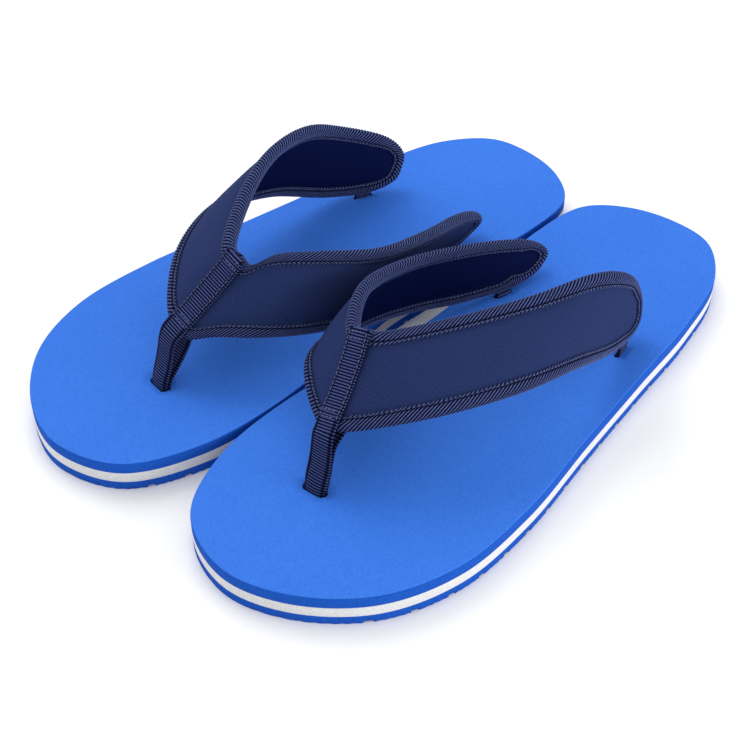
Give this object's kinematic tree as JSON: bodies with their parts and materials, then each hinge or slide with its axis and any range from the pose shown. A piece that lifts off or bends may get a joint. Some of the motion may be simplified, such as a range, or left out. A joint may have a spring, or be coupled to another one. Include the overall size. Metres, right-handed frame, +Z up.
{
  "type": "flip flops",
  "caption": "Thong sandals with laminated foam soles, padded cloth straps with bound edges, a sewn webbing seam and a webbing toe post",
  "frame": {"origin": "on the floor under the middle of the pair", "axes": "+Z up, toes towards -Y, the wearer's left shoe on +X and right shoe on -X"},
  "size_m": [0.2182, 0.2854, 0.0696],
  "materials": {
    "blue_foam": "matt fine-grained blue EVA foam",
    "white_foam": "matt off-white EVA foam",
    "navy_cloth": "fine plain-weave navy cloth over foam",
    "navy_lining": "smooth dark navy knitted lining",
    "navy_tape": "ribbed navy twill tape and webbing, stitched",
    "padding_foam": "soft grey open-cell foam, hidden",
    "blue_plastic": "moulded blue disc"
  },
  "bodies": {
    "sole_left": {"left_outsole": "blue_foam", "left_midsole": "white_foam", "left_footbed": "blue_foam", "left_toe_anchor": "blue_plastic", "left_toe_post": "navy_tape"},
    "upper_left": {"left_seam_webbing": "navy_tape", "left_lateral_cover": "navy_cloth", "left_lateral_padding": "padding_foam", "left_lateral_lining": "navy_lining", "left_lateral_binding": "navy_tape", "left_lateral_anchor_tab": "navy_tape", "left_medial_cover": "navy_cloth", "left_medial_padding": "padding_foam", "left_medial_lining": "navy_lining", "left_medial_binding": "navy_tape", "left_medial_anchor_tab": "navy_tape"},
    "sole_right": {"right_outsole": "blue_foam", "right_midsole": "white_foam", "right_footbed": "blue_foam", "right_toe_anchor": "blue_plastic", "right_toe_post": "navy_tape"},
    "upper_right": {"right_seam_webbing": "navy_tape", "right_lateral_cover": "navy_cloth", "right_lateral_padding": "padding_foam", "right_lateral_lining": "navy_lining", "right_lateral_binding": "navy_tape", "right_lateral_anchor_tab": "navy_tape", "right_medial_cover": "navy_cloth", "right_medial_padding": "padding_foam", "right_medial_lining": "navy_lining", "right_medial_binding": "navy_tape", "right_medial_anchor_tab": "navy_tape"}
  },
  "joints": [
    {"name": "strap_press_left", "type": "hinge", "parent": "sole_left", "child": "upper_left", "pos_m": [0.01978, 0.04972, 0.014], "axis": [0.9963, 0.0859, 0], "range_deg": [0, 8], "stiffness_Nm_per_rad": 3, "deforming": ["left_toe_post"]},
    {"name": "strap_press_right", "type": "hinge", "parent": "sole_right", "child": "upper_right", "pos_m": [-0.016, 0.04805, 0.014], "axis": [0.9798, -0.1998, 0], "range_deg": [0, 8], "stiffness_Nm_per_rad": 3, "deforming": ["right_toe_post"]},
    {"name": "pair_slide", "type": "slide", "parent": "sole_left", "child": "sole_right", "axis": [-1, 0, 0], "range_m": [0, 0.15]}
  ]
}
